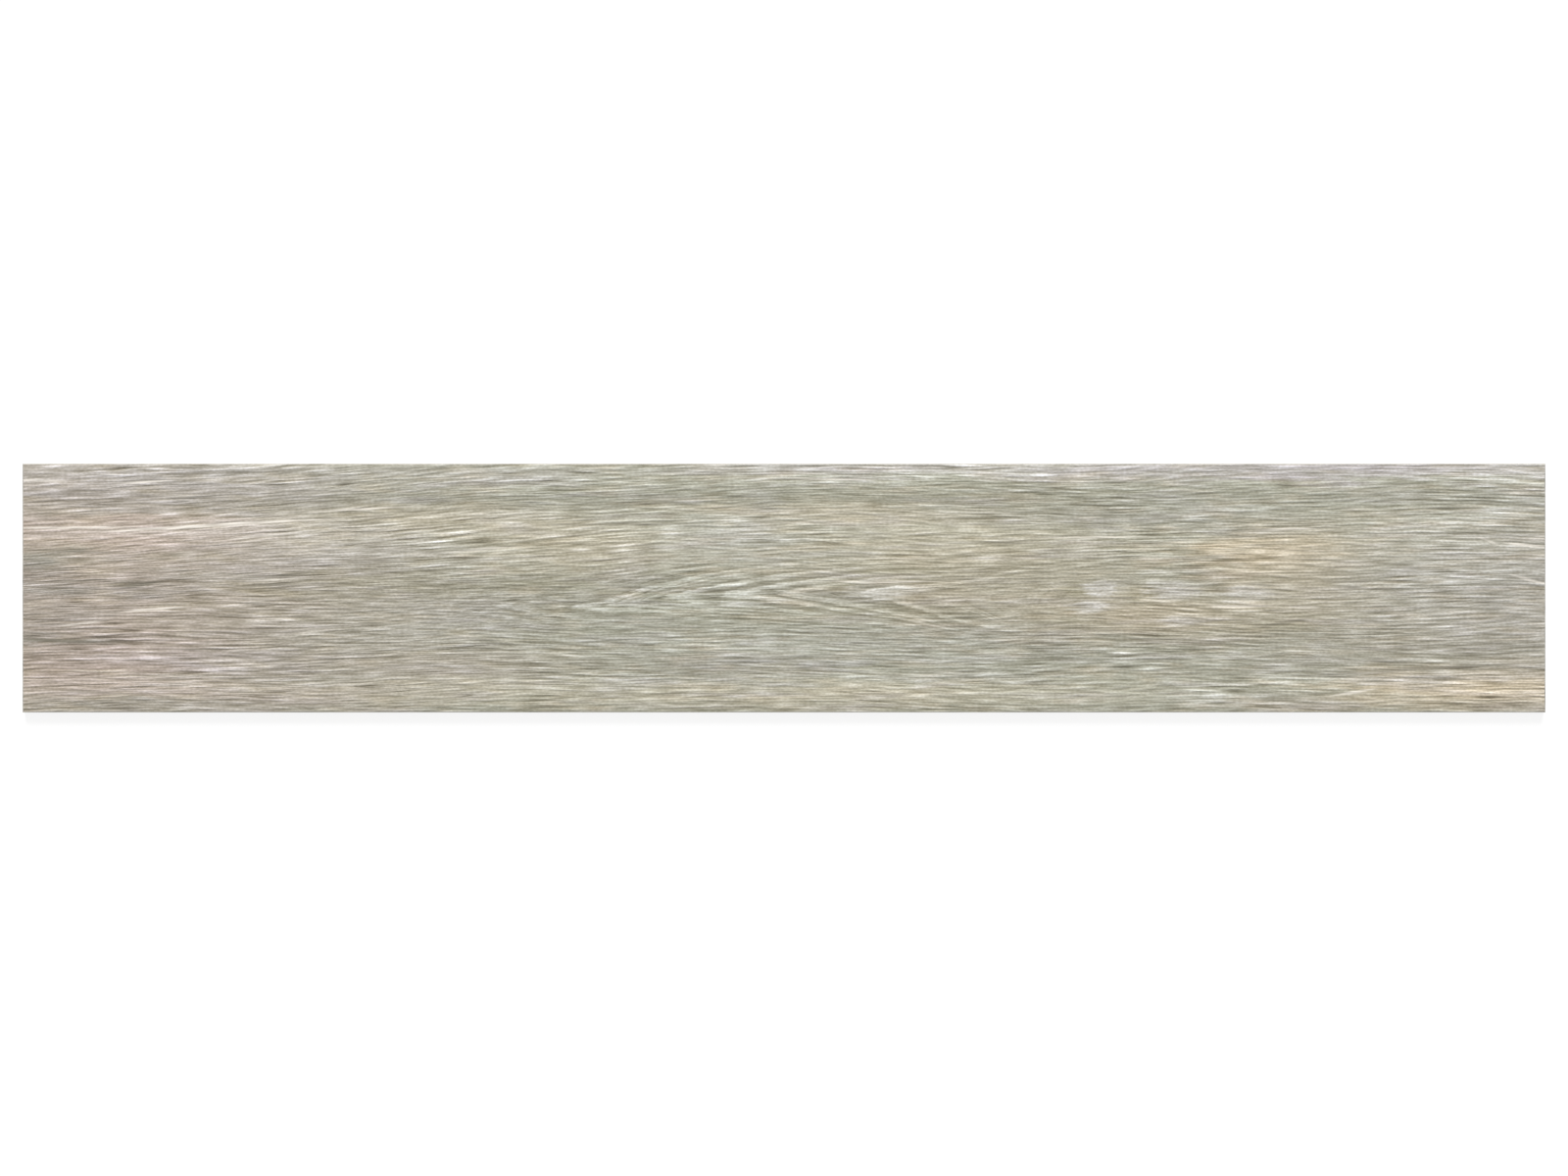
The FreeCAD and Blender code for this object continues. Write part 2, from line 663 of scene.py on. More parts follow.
# Broad washes that tint the ground, drawn one ink after the other
WASHES: dict[Ink, tuple[Wash, ...]] = {
    Ink.ROSE: (
        Wash(-660, 0, 540, 180, 0.95),
        Wash(-520, 45, 190, 20, 0.5),
        Wash(-560, -60, 220, 40, 0.5),
        Wash(-420, -88, 240, 18, 0.4),
        Wash(620, -80, 180, 30, 0.35),
        Wash(520, -20, 300, 120, 0.25),
        Wash(-260, -64, 180, 30, 0.3),
        Wash(400, -92, 120, 12, 0.3),
    ),
    Ink.TAN: (
        Wash(-600, 30, 80, 14, 0.3),
        Wash(-160, 30, 130, 34, 0.4),
        Wash(-30, 62, 140, 10, 0.4),
        Wash(130, 15, 260, 70, 0.4),
        Wash(392, 26, 100, 36, 0.85),
        Wash(230, -20, 160, 34, 0.3),
        Wash(186, -40, 60, 9, 0.35),
        Wash(70, 56, 150, 10, 0.3),
        Wash(-570, 24, 60, 12, 0.4),
        Wash(112, -8, 60, 12, 0.3),
        Wash(340, 20, 60, 30, 0.3),
        Wash(-37, -60, 80, 14, 0.35),
        Wash(300, -25, 150, 30, 0.5),
        Wash(545, -81, 160, 26, 0.95),
        Wash(0, -85, 420, 20, 0.35),
        Wash(-250, 55, 160, 20, 0.35),
        Wash(410, -8, 80, 30, 0.35),
    ),
    Ink.HEATHER: (
        Wash(-500, 86, 240, 32, 0.5),
        Wash(450, 95, 300, 14, 0.9),
        Wash(60, 95, 260, 12, 0.6),
        Wash(-250, -20, 120, 26, 0.25),
        Wash(640, 0, 220, 120, 0.3),
        Wash(250, 90, 130, 16, 0.45),
        Wash(-230, 88, 150, 16, 0.3),
        Wash(-450, -56, 150, 14, 0.35),
        Wash(-370, 24, 130, 20, 0.25),
    ),
    Ink.OLIVE: (
        Wash(80, 12, 70, 12, 0.4),
        Wash(90, -20, 130, 14, 0.4),
        Wash(-190, 0, 70, 20, 0.4),
        Wash(100, 70, 320, 8, 0.35),
        Wash(-20, -64, 180, 6, 0.4),
        Wash(220, -25, 60, 16, 0.35),
        Wash(400, -30, 60, 9, 0.5),
        Wash(-320, 0, 220, 18, 0.35),
    ),
    Ink.MIST: (
        Wash(-40, 34, 130, 28, 0.5),
        Wash(60, -42, 260, 22, 0.3),
        Wash(-20, -6, 70, 16, 0.4),
        Wash(500, 10, 160, 60, 0.3),
        Wash(336, -88, 80, 12, 0.4),
    ),
    Ink.SLATE: (
        Wash(-580, 22, 90, 14, 0.6),
        Wash(-540, -2, 120, 10, 0.4),
        Wash(-570, -42, 90, 9, 0.6),
        Wash(-450, 90, 200, 12, 0.3),
        Wash(-450, -90, 200, 12, 0.35),
        Wash(220, 56, 260, 10, 0.35),
        Wash(30, -57, 180, 7, 0.4),
        Wash(190, -40, 140, 12, 0.25),
        Wash(-600, -10, 90, 100, 0.4),
        Wash(300, 50, 150, 16, 0.35),
        Wash(-30, 55, 100, 12, 0.3),
        Wash(-60, -62, 120, 14, 0.4),
        Wash(200, -22, 230, 44, 0.25),
        Wash(-40, 40, 60, 14, 0.3),
        Wash(580, 46, 70, 18, 0.35),
        Wash(-30, -74, 110, 14, 0.4),
        Wash(75, -8, 70, 14, 0.25),
        Wash(400, 44, 120, 12, 0.25),
        Wash(-520, -90, 110, 10, 0.4),
        Wash(-570, 56, 60, 10, 0.3),
        Wash(-187, -8, 50, 12, 0.35),
        Wash(40, -10, 50, 10, 0.25),
        Wash(-37, -58, 70, 9, 0.4),
        Wash(565, -12, 50, 50, 0.25),
        Wash(570, -92, 60, 10, 0.35),
    ),
    Ink.CHALK_AND_HIGHLIGHT: (
        Wash(-440, 44, 220, 12, 0.35),
        Wash(-330, 26, 100, 12, 0.2),
        Wash(-330, -40, 100, 12, 0.2),
        Wash(-440, -72, 200, 6, 0.2),
        Wash(480, -71, 160, 5, 0.25),
        Wash(60, 90, 180, 9, 0.2),
        Wash(600, 92, 120, 12, 0.35),
        Wash(-450, 8, 100, 10, 0.25),
        Wash(150, -72, 90, 8, 0.25),
        Wash(-225, 56, 60, 9, 0.25),
        Wash(485, 72, 50, 9, 0.3),
        Wash(186, 88, 60, 9, 0.3),
    ),
}

# Patches that stand out by themselves, with clearer edges than the washes
PATCHES: dict[Ink, tuple[Wash, ...]] = {
    Ink.OLIVE: (
        Wash(228, -1, 11, 8, 0.6),
        Wash(226, -28, 16, 5, 0.35),
        Wash(280, -6, 11, 8, 0.6),
        Wash(44, -1, 12, 5, 0.5),
        Wash(398, -27, 34, 3, 0.5),
    ),
    Ink.UMBER: (
        Wash(-515, 3, 18, 4, 0.5),
        Wash(-560, -43, 54, 3, 0.4, -0.05),
    ),
    Ink.CHALK_AND_HIGHLIGHT: (
        Wash(487, -22, 14, 4, 0.45),
        Wash(80, -2, 44, 8, 0.3),
        Wash(250, -1, 17, 9, 0.65),
        Wash(240, -15, 18, 7, 0.65),
        Wash(306, -2, 26, 9, 0.6),
        Wash(313, -26, 20, 5, 0.4),
        Wash(366, -5, 24, 10, 0.4),
    ),
}

# Single long lines, drawn over all the rest: dark fibres of the print, and painted highlight lines
STROKES: dict[Ink, tuple[Wash, ...]] = {
    Ink.UMBER: (
        Wash(-400, 10, 38, 1.6, 0.85, 0.082),
        Wash(-406, 2.5, 32, 1.5, 0.8, 0.085),
        Wash(-504, 3, 22, 1.8, 0.75, 0.14),
        Wash(-550, 6, 26, 1.5, 0.5, 0.02),
        Wash(-580, -41, 40, 1.8, 0.7, -0.04),
        Wash(-456, -48, 34, 1.4, 0.6, 0.015),
        Wash(-556, 29, 46, 1.4, 0.5, -0.03),
        Wash(-540, -82, 44, 1.4, 0.5, -0.05),
        Wash(-363, 68, 22, 1.4, 0.5, 0.05),
        Wash(-340, 20, 50, 1.4, 0.45, 0.09),
        Wash(-130, 50, 95, 1.4, 0.55),
        Wash(-100, 67, 46, 1.7, 0.5),
        Wash(170, 36, 100, 1.3, 0.45),
        Wash(448, 5.5, 44, 1.3, 0.5, 0.01),
        Wash(396, -27, 24, 2, 0.6, 0.17),
        Wash(503, -64, 140, 1.6, 0.6, 0.055),
    ),
    # Painted highlight lines along the relief
    Ink.GLINT: (
        Wash(-447, 49.5, 120, 1.7, 0.95, 0.055),
        Wash(-560, 47.5, 62, 1.4, 0.6, 0.01),
        Wash(-503, 84, 32, 1.5, 0.6, 0.07),
        Wash(-585, 84.5, 26, 1.4, 0.6, -0.03),
        Wash(-497, -17, 34, 1.6, 0.75, 0.06),
        Wash(-554, -28, 22, 1.4, 0.6, 0.13),
        Wash(-409, 41, 34, 1.4, 0.65, 0.09),
        Wash(-404, 6.3, 34, 1.2, 0.6, 0.085),
        Wash(75, 5, 66, 1.3, 0.5),
        Wash(-330, 62, 60, 1.3, 0.5, 0.05),
        Wash(-240, 30, 40, 1.3, 0.45, 0.08),
        Wash(30, 86, 60, 1.3, 0.4),
        Wash(240, 40, 60, 1.3, 0.4, 0.01),
        Wash(400, 46.5, 30, 1.3, 0.5, 0.01),
        Wash(360, -14.5, 30, 1.5, 0.7),
        Wash(409, -15, 16, 1.3, 0.6),
        Wash(586, 33.5, 24, 1.6, 0.7, -0.11),
        Wash(555, 37, 13, 1.4, 0.5, -0.4),
        Wash(588, 6.5, 20, 1.5, 0.6, -0.24),
        Wash(450, -82, 24, 1.3, 0.55, 0.15),
    ),
}


def new_material(name: str) -> tuple[bpy.types.Material, Nodes, bpy.types.Node]:
    """Starts a material.

    Args:
        name: What it is called.

    Returns:
        The material, the maker of its nodes and its shader, already joined to the output.
    """
    material = bpy.data.materials.new(name)
    material.use_nodes = True
    material.node_tree.nodes.clear()
    nodes = Nodes(material.node_tree)
    shader = nodes.add("ShaderNodeBsdfPrincipled")
    nodes.add("ShaderNodeOutputMaterial", None, {"Surface": Value(nodes, shader.outputs[0])})
    return material, nodes, shader


def bump(nodes: Nodes, shader: bpy.types.Node, height: Value, depth: float) -> None:
    """Gives a shader relief that is too fine for the mesh.

    Args:
        nodes: The maker of the tree's nodes.
        shader: The shader.
        height: The relief, about nought.
        depth: How deep it is where the height is 1, in millimetres.
    """
    inputs = {"Height": height, "Distance": depth * MM, "Strength": 1.0}
    relief = nodes.add("ShaderNodeBump", None, inputs)
    nodes.tree.links.new(relief.outputs[0], shader.inputs["Normal"])


@dataclass(frozen=True)
class PrintedGlaze:
    """The matt glazed face: ink jet print under a thin matt glaze, over the pressed relief, with painted
    highlight and shade in its colour as well.
    """

    figure: GrainFigure
    # The glaze's roughness, and how much rougher the streaks' crests and the fibres' valleys are
    roughness: float = 0.66
    streak_roughness: float = 0.05
    fibre_roughness: float = 0.04
    # How deep the finest fibres and the threads are, which the mesh doesn't show
    pore_depth: float = 0.18
    # How strongly the tone tells in red, green and blue: the dark lines are browner than the light ones
    depth: tuple[float, float, float] = (0.93, 0.98, 1.15)
    # How strongly the figure's parts, the finest fibres, the grit and the dark threads tell in the tone
    tone: Blend = Blend(bands=0.07, arches=0.25, lines=0.13, streaks=0.4)
    fibre_tone: float = 0.23
    grit_tone: float = 0.13
    thread_tone: float = 0.36
    # The sizes of the finest fibres and of the grit
    fibre_length: float = 18.0
    fibre_width: float = 1.7
    grit_length: float = 2.6
    grit_width: float = 1.1
    # The size of the waves that fray the washes' edges, how far they do, and the tan and heather they carry
    wave_length: float = 60.0
    wave_length_across: float = 90.0
    wave_width: float = 9.0
    fray_along: float = 34.0
    fray_across: float = 7.0
    tan_share: float = 0.4
    heather_share: float = 0.34
    # How far the waves, the streaks and the fibres fray the patches, and how far the waves bend the strokes
    patch_fray_waves: float = 3.0
    patch_fray_streaks: float = 8.0
    patch_fray_fibres: float = 5.0
    stroke_bend: float = 0.8
    # The share of patches and of strokes that is at full strength
    patch_core: float = 0.5
    stroke_core: float = 0.4
    # How streaks and fibres add up to the relief's crests, from which sum on, and how much painted
    # highlight, in the chalk colour, the crests get
    crest_streaks: float = 0.8
    crest_fibres: float = 0.5
    crest_start: float = 0.35
    crest_highlight: float = 0.15
    # How far the fibres break the strokes up, and what is left of them
    stroke_fibres: float = 0.3
    stroke_rest: float = 0.85

    def material(self) -> bpy.types.Material:
        """Makes the face's material.

        Returns:
            The material.
        """
        material, nodes, shader = new_material("printed_matt_glaze")
        place = Value(nodes, nodes.add("ShaderNodeTexCoord").outputs["Object"])
        fields = self.figure.fields(nodes, place)
        fine = self.fine(nodes, fields)
        colour = self.print(nodes, fields, fine)
        nodes.tree.links.new(colour.socket, shader.inputs["Base Color"])
        roughness = self.roughness + self.streak_roughness * fields.streaks - self.fibre_roughness * fine
        nodes.tree.links.new(roughness.socket, shader.inputs["Roughness"])
        bump(nodes, shader, fine + fields.threads, self.pore_depth)
        return material

    def fine(self, nodes: Nodes, fields: GrainFields) -> Value:
        """The finest fibres, which are too small for the mesh."""
        return nodes.noise(fields.x / self.fibre_length, fields.level / self.fibre_width, Seed.FIBRES)

    def print(self, nodes: Nodes, fields: GrainFields, fine: Value) -> Value:
        """The colour: washes of ink, then patches, the figure's printed tone times the tone across the
        board with its painted shade and highlight at the edges, painted highlight on the relief's crests,
        and single strokes, the light ones painted highlight lines.

        Args:
            nodes: The maker of the tree's nodes.
            fields: The figure's values.
            fine: The finest fibres.

        Returns:
            The printed colour, with its painted highlights and shade.
        """
        x, y = fields.x, fields.y
        along = nodes.noise(x / self.wave_length, y / self.wave_width, Seed.PRINT_ALONG, 2.0, 0.7)
        across = nodes.noise(x / self.wave_length_across, y / self.wave_width, Seed.PRINT_ACROSS, 2.0, 0.7)
        place = nodes.vector(x + self.fray_along * along, y + self.fray_across * across)
        colour: Value | tuple = Ink.GROUND.value
        for ink, washes in WASHES.items():
            colour = nodes.mix(self.spread(nodes, place, washes), colour, ink.value)
        frayed = x + self.patch_fray_waves * along + self.patch_fray_streaks * fields.streaks
        close = nodes.vector(frayed + self.patch_fray_fibres * fine, y + across)
        for ink, washes in PATCHES.items():
            colour = nodes.mix(self.spread(nodes, close, washes, self.patch_core), colour, ink.value)
        colour = nodes.mix(along.most(0.0) * self.tan_share, colour, Ink.TAN.value)
        colour = nodes.mix(across.most(0.0) * self.heather_share, colour, Ink.HEATHER.value)
        grit = nodes.noise(x / self.grit_length, y / self.grit_width, Seed.PRINT_GRIT)
        tone = self.tone.of(fields) + self.fibre_tone * fine + self.grit_tone * grit
        tone = tone + self.thread_tone * fields.threads.least(0.0)
        # The printed tone, times the tone across the board, which paints shade at the lower edge and a
        # highlight at the upper one
        shade = nodes.vector(*((strength * tone).power_of_e() * fields.profile for strength in self.depth))
        colour = nodes.vector_maths("MULTIPLY", colour, shade)
        # Painted highlight on the relief's crests and on the light threads, mixed in the chalk colour
        crests = self.crest_streaks * fields.streaks + self.crest_fibres * fine - self.crest_start
        crests = crests.most(0.0) + fields.threads.most(0.0)
        colour = nodes.mix(self.crest_highlight * crests.least(1.0), colour, Ink.CHALK_AND_HIGHLIGHT.value)
        drawn = nodes.vector(x, y + self.stroke_bend * across)
        broken = self.stroke_rest + self.stroke_fibres * fine
        # The umber strokes are dark fibre lines of the print; the glint strokes are painted highlight lines
        for ink, washes in STROKES.items():
            share = self.spread(nodes, drawn, washes, self.stroke_core) * broken
            colour = nodes.mix(share, colour, ink.value)
        return colour

    @staticmethod
    def spread(nodes: Nodes, place: Value, washes: tuple[Wash, ...], core: float = 0.0) -> Value:
        """How much of one ink lies at a place.

        Args:
            nodes: The maker of the tree's nodes.
            place: The place on the face, in millimetres.
            washes: All washes of the ink.
            core: The share of each wash's reach within which it is at its full strength.

        Returns:
            The ink's share, 0 to 1.
        """
        total: Value | float = 0.0
        along = nodes.parts(place)[0]
        along = nodes.vector(along, along)
        for wash in washes:
            straight = place
            if wash.slope:
                straight = nodes.vector_maths("MULTIPLY_ADD", along, (0.0, -wash.slope, 0.0), place)
            scale = (1 / wash.half_length, 1 / wash.half_width, 0.0)
            middle = wash.y - wash.slope * wash.x
            shift = (-wash.x / wash.half_length, -middle / wash.half_width, 0.0)
            local = nodes.vector_maths("MULTIPLY_ADD", straight, scale, shift)
            away = nodes.vector_maths("LENGTH", local, output=1)
            total = away.rise(1, core, wash.strength) + total
        return total.least(1.0)


@dataclass(frozen=True)
class GroundEdge:
    """The fired body where the sides and the chamfer were ground: pale, with fine marks along them."""

    colour: tuple[float, float, float, float] = linear(196, 192, 182)
    speck: tuple[float, float, float, float] = linear(168, 160, 146)
    # How long and thin the wheel's marks are, and how large the body's grains are
    mark_length: float = 40.0
    mark_width: float = 0.22
    grain: float = 0.7
    # How deep the marks are, how strongly the grains tell beside them, and how rough the ground body is
    depth: float = 0.006
    grain_share: float = 0.3
    roughness: float = 0.62
    mark_roughness: float = 0.08
    # Over what step of the grains the specks come in, how strongly, and how much the marks lighten
    speck_rise: tuple[float, float] = (0.1, 1.0)
    speck_share: float = 0.5
    mark_tone: float = 0.03

    def material(self) -> bpy.types.Material:
        """Makes the sides' material.

        Returns:
            The material.
        """
        material, nodes, shader = new_material("ground_body")
        place = Value(nodes, nodes.add("ShaderNodeTexCoord").outputs["Object"])
        x, y, z = nodes.parts(nodes.vector_maths("SCALE", place, Scale=1 / MM))
        run = x + y
        marks = nodes.noise(run / self.mark_length, z / self.mark_width, Seed.GRINDING, 1.0)
        grit = nodes.noise(run / self.grain, z / self.grain, Seed.BODY_GRIT, 2.0)
        colour = nodes.mix(grit.rise(*self.speck_rise) * self.speck_share, self.colour, self.speck)
        colour = nodes.vector_maths("SCALE", colour, Scale=1 + self.mark_tone * marks)
        nodes.tree.links.new(colour.socket, shader.inputs["Base Color"])
        roughness = self.roughness + self.mark_roughness * marks
        nodes.tree.links.new(roughness.socket, shader.inputs["Roughness"])
        bump(nodes, shader, marks + self.grain_share * grit, self.depth)
        return material


@dataclass(frozen=True)
class PressedBack:
    """The unglazed back: the body's pressed skin with a thin kiln wash rubbed onto its ribs."""

    body: tuple[float, float, float, float] = linear(188, 180, 166)
    wash: tuple[float, float, float, float] = linear(214, 211, 204)
    grime: tuple[float, float, float, float] = linear(150, 141, 126)
    # The sizes of the wash's clouds, of the streaks in which it was rubbed on, and of the body's grains
    cloud_length: float = 70.0
    cloud_width: float = 40.0
    drag_length: float = 60.0
    drag_width: float = 1.6
    grain: float = 0.9
    # How deep the grains are and how rough the pressed skin is, with what the grains add to it
    depth: float = 0.06
    roughness: float = 0.8
    grain_roughness: float = 0.06
    # Over what step of the grains the grime comes in, and how strongly
    grime_rise: tuple[float, float] = (0.2, 1.1)
    grime_share: float = 0.5
    # How evenly the wash covers, and how strongly its clouds and streaks tell
    wash_cover: float = 0.55
    cloud_share: float = 0.5
    drag_share: float = 0.35
    # How far up the pockets' walls the ribs' wash reaches, and how much of it lies beyond and on the ribs
    wash_reach: float = 0.5
    wash_beyond: float = 0.3
    wash_on_rib: float = 0.6

    def material(self) -> bpy.types.Material:
        """Makes the back's material.

        Returns:
            The material.
        """
        material, nodes, shader = new_material("pressed_back")
        place = Value(nodes, nodes.add("ShaderNodeTexCoord").outputs["Object"])
        x, y, z = nodes.parts(nodes.vector_maths("SCALE", place, Scale=1 / MM))
        cloud = nodes.noise(x / self.cloud_length, y / self.cloud_width, Seed.KILN_CLOUD, 3.0)
        grit = nodes.noise(x / self.grain, y / self.grain, Seed.BACK_GRIT, 2.0)
        drag = nodes.noise(x / self.drag_length, y / self.drag_width, Seed.KILN_DRAG, 2.0)
        on_rib = 1 - z.rise(0.0, self.wash_reach)
        washed = (self.wash_cover + self.cloud_share * cloud + self.drag_share * drag).rise(0.0, 1.0)
        washed = washed * (self.wash_beyond + self.wash_on_rib * on_rib)
        colour = nodes.mix(grit.rise(*self.grime_rise) * self.grime_share, self.body, self.grime)
        colour = nodes.mix(washed, colour, self.wash)
        nodes.tree.links.new(colour.socket, shader.inputs["Base Color"])
        roughness = self.roughness + self.grain_roughness * grit
        nodes.tree.links.new(roughness.socket, shader.inputs["Roughness"])
        bump(nodes, shader, grit, self.depth)
        return material


class Skin(Enum):
    """The material slots of the tile, in their order."""

    FACE = 0
    EDGE = 1
    BACK = 2


@dataclass
class PlankTile:
    """The tile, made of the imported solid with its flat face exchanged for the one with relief."""

    figure: GrainFigure
    # The relief's depth, and how many cells the face's grid has along the tile and across it
    relief: float = 0.55 * MM
    cells_along: int = 240
    cells_across: int = 380
    # How far apart the rim's points are, and within what distance two points are taken for one
    rim_step: float = 24 * MM
    join: float = 0.001 * MM
    # The bake map, in shares of its square: its margin, and the rows of its parts
    map_margin: float = 0.004
    map_far_side: tuple[float, float] = (0.004, 0.016)
    map_near_side: tuple[float, float] = (0.022, 0.034)
    map_ends: tuple[float, float] = (0.040, 0.052)
    map_back: tuple[float, float] = (0.060, 0.330)
    map_face: tuple[float, float] = (0.336, 0.996)
    # The two ends lie in one row, and each takes this share of it
    map_end_share: float = 0.48

    def __post_init__(self) -> None:
        """Reads the tile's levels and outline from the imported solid."""
        corners = [vertex.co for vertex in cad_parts[NODE].data.vertices]
        levels = sorted({round(corner.z / self.join) * self.join for corner in corners})
        self.rim_level, self.face_level = levels[-2:]
        self.arris = levels[1]
        self.half = Vector((max(c.x for c in corners), max(c.y for c in corners)))
        self.face_half = Vector([max(c[axis] for c in corners if c.z > self.face_level - self.join)
                                 for axis in (0, 1)])

    def build(self) -> bpy.types.Object:
        """Makes the finished tile.

        Returns:
            Its object, in three materials and with its bake map.
        """
        face = self.face()
        tile = bmesh.new()
        tile.from_mesh(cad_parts[NODE].data)
        bmesh.ops.remove_doubles(tile, verts=tile.verts, dist=self.join)
        self.open_top(tile)
        self.dress(tile)
        tile.from_mesh(face)
        self.chamfer(tile)
        bmesh.ops.recalc_face_normals(tile, faces=tile.faces)
        mesh = bpy.data.meshes.new(PIECE)
        tile.to_mesh(mesh)
        tile.free()
        bpy.data.meshes.remove(face)
        for material in (PrintedGlaze(self.figure), GroundEdge(), PressedBack()):
            mesh.materials.append(material.material())
        piece = bpy.data.objects.new(PIECE, mesh)
        bpy.context.scene.collection.objects.link(piece)
        self.lay_map(mesh)
        return piece

    def face(self) -> bpy.types.Mesh:
        """Makes the face's relief by Geometry Nodes.

        Returns:
            The face alone, as a plain mesh, whose border lies on the plane of the chamfer.
        """
        tree = self.relief_tree()
        start = bpy.data.meshes.new("face")
        carrier = bpy.data.objects.new("face", start)
        bpy.context.scene.collection.objects.link(carrier)
        modifier = carrier.modifiers.new("relief", "NODES")
        modifier.node_group = tree
        wanted = {
            "Length": 2 * self.face_half.x,
            "Width": 2 * self.face_half.y,
            "Level": self.face_level,
            "Relief": self.relief,
            "Cells along": self.cells_along,
            "Cells across": self.cells_across,
        }
        for item in tree.interface.items_tree:
            if item.in_out == "INPUT" and item.name in wanted:
                modifier[item.identifier] = wanted[item.name]
        evaluated = carrier.evaluated_get(bpy.context.evaluated_depsgraph_get())
        mesh = bpy.data.meshes.new_from_object(evaluated)
        bpy.data.objects.remove(carrier)
        bpy.data.meshes.remove(start)
        bpy.data.node_groups.remove(tree)
        return mesh

    def relief_tree(self) -> bpy.types.NodeTree:
        """Makes the tree that lays a grid over the face and presses the figure's relief into it.

        Returns:
            The tree, whose named inputs are its sizes.
        """
        tree = bpy.data.node_groups.new("pressed_relief", "GeometryNodeTree")
        for name in ("Length", "Width", "Level", "Relief"):
            tree.interface.new_socket(name, in_out="INPUT", socket_type="NodeSocketFloat")
        for name in ("Cells along", "Cells across"):
            tree.interface.new_socket(name, in_out="INPUT", socket_type="NodeSocketInt")
        tree.interface.new_socket("Geometry", in_out="OUTPUT", socket_type="NodeSocketGeometry")
        nodes = Nodes(tree)
        given = {s.name: Value(nodes, s) for s in nodes.add("NodeGroupInput").outputs}
        grid = nodes.add("GeometryNodeMeshGrid", None, {
            "Size X": given["Length"],
            "Size Y": given["Width"],
            "Vertices X": given["Cells along"] + 1,
            "Vertices Y": given["Cells across"] + 1,
        })
        place = Value(nodes, nodes.add("GeometryNodeInputPosition").outputs[0])
        drop = (1 - self.figure.height(self.figure.fields(nodes, place))) * given["Relief"]
        x, y, _ = nodes.parts(place)
        # The border slides down the chamfer's plane, so it moves out by as much as it drops.
        at_end = x.size().above(given["Length"] / 2 - self.join) * x.sign()
        at_side = y.size().above(given["Width"] / 2 - self.join) * y.sign()
        moved = nodes.vector(x + at_end * drop, y + at_side * drop, given["Level"] - drop)
        shape = nodes.add("GeometryNodeSetPosition", None, {
            "Geometry": Value(nodes, grid.outputs[0]),
            "Position": moved,
        })
        smooth = nodes.add("GeometryNodeSetShadeSmooth", None, {0: Value(nodes, shape.outputs[0])})
        whole = nodes.add("GeometryNodeRealizeInstances", None, {0: Value(nodes, smooth.outputs[0])})
        done = nodes.add("GeometryNodeSetMaterial", None, {0: Value(nodes, whole.outputs[0])})
        nodes.add("NodeGroupOutput", None, {"Geometry": Value(nodes, done.outputs[0])})
        return tree

    def open_top(self, tile: bmesh.types.BMesh) -> None:
        """Takes away the flat face and the chamfer, and divides the rim that is left.

        Args:
            tile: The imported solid's mesh, with its doubles merged.
        """
        low = self.rim_level - self.join
        gone = [face for face in tile.faces if all(vertex.co.z > low for vertex in face.verts)]
        bmesh.ops.delete(tile, geom=gone, context="FACES")
        rim = [edge for edge in tile.edges if edge.is_boundary]
        for edge in rim:
            cuts = round(edge.calc_length() / self.rim_step) - 1
            bmesh.ops.subdivide_edges(tile, edges=[edge], cuts=cuts)
        walls = [face for face in tile.faces if len(face.verts) > 4]
        bmesh.ops.triangulate(tile, faces=walls)

    def dress(self, tile: bmesh.types.BMesh) -> None:
        """Gives the sides and the arris the ground finish, and the rest the back's.

        Args:
            tile: The tile's mesh, with its top open.
        """
        inner = self.half - Vector((self.arris, self.arris))
        for face in tile.faces:
            middle = face.calc_center_median()
            outside = abs(middle.x) > inner.x or abs(middle.y) > inner.y
            face.material_index = (Skin.EDGE if outside else Skin.BACK).value
            face.smooth = False

    def chamfer(self, tile: bmesh.types.BMesh) -> None:
        """Closes the chamfer between the rim and the border of the face, side by side.

        Args:
            tile: The mesh that holds the open tile and the face.
        """
        tile.verts.ensure_lookup_table()
        loose = {vertex for edge in tile.edges if edge.is_boundary for vertex in edge.verts}
        rim = [vertex for vertex in loose if vertex.co.z < self.rim_level + self.join]
        border = [vertex for vertex in loose if vertex.co.z >= self.rim_level + self.join]
        for across, along in ((0, 1), (1, 0)):
            for side in (-1, 1):
                low = self.row(rim, across, along, side, self.half[across] - self.join)
                high = self.row(border, across, along, side, self.face_half[across] - self.join)
                self.zip_rows(tile, low, high, along)

    @staticmethod
    def row(
        loose: list[bmesh.types.BMVert], across: int, along: int, side: int, reach: float
    ) -> list[bmesh.types.BMVert]:
        """The vertices at one side, in order along it."""
        return sorted((v for v in loose if v.co[across] * side > reach), key=lambda v: v.co[along])

    @staticmethod
    def zip_rows(
        tile: bmesh.types.BMesh, low: list[bmesh.types.BMVert], high: list[bmesh.types.BMVert], along: int
    ) -> None:
        """Fills the strip between two rows with triangles, each step taken in the row that is behind.

        Args:
            tile: The mesh.
            low: The rim's vertices at one side, in order.
            high: The vertices of the face's border at that side, in order.
            along: The axis that the side runs along, 0 or 1.
        """
        at_low = at_high = 0
        while at_low < len(low) - 1 or at_high < len(high) - 1:
            next_low = low[at_low + 1].co[along] if at_low < len(low) - 1 else math.inf
            next_high = high[at_high + 1].co[along] if at_high < len(high) - 1 else math.inf
            corners = [low[at_low], high[at_high]]
            if next_low < next_high:
                at_low += 1
                corners.append(low[at_low])
            else:
                at_high += 1
                corners.append(high[at_high])
            face = tile.faces.new(corners)
            face.material_index = Skin.EDGE.value
            face.smooth = False

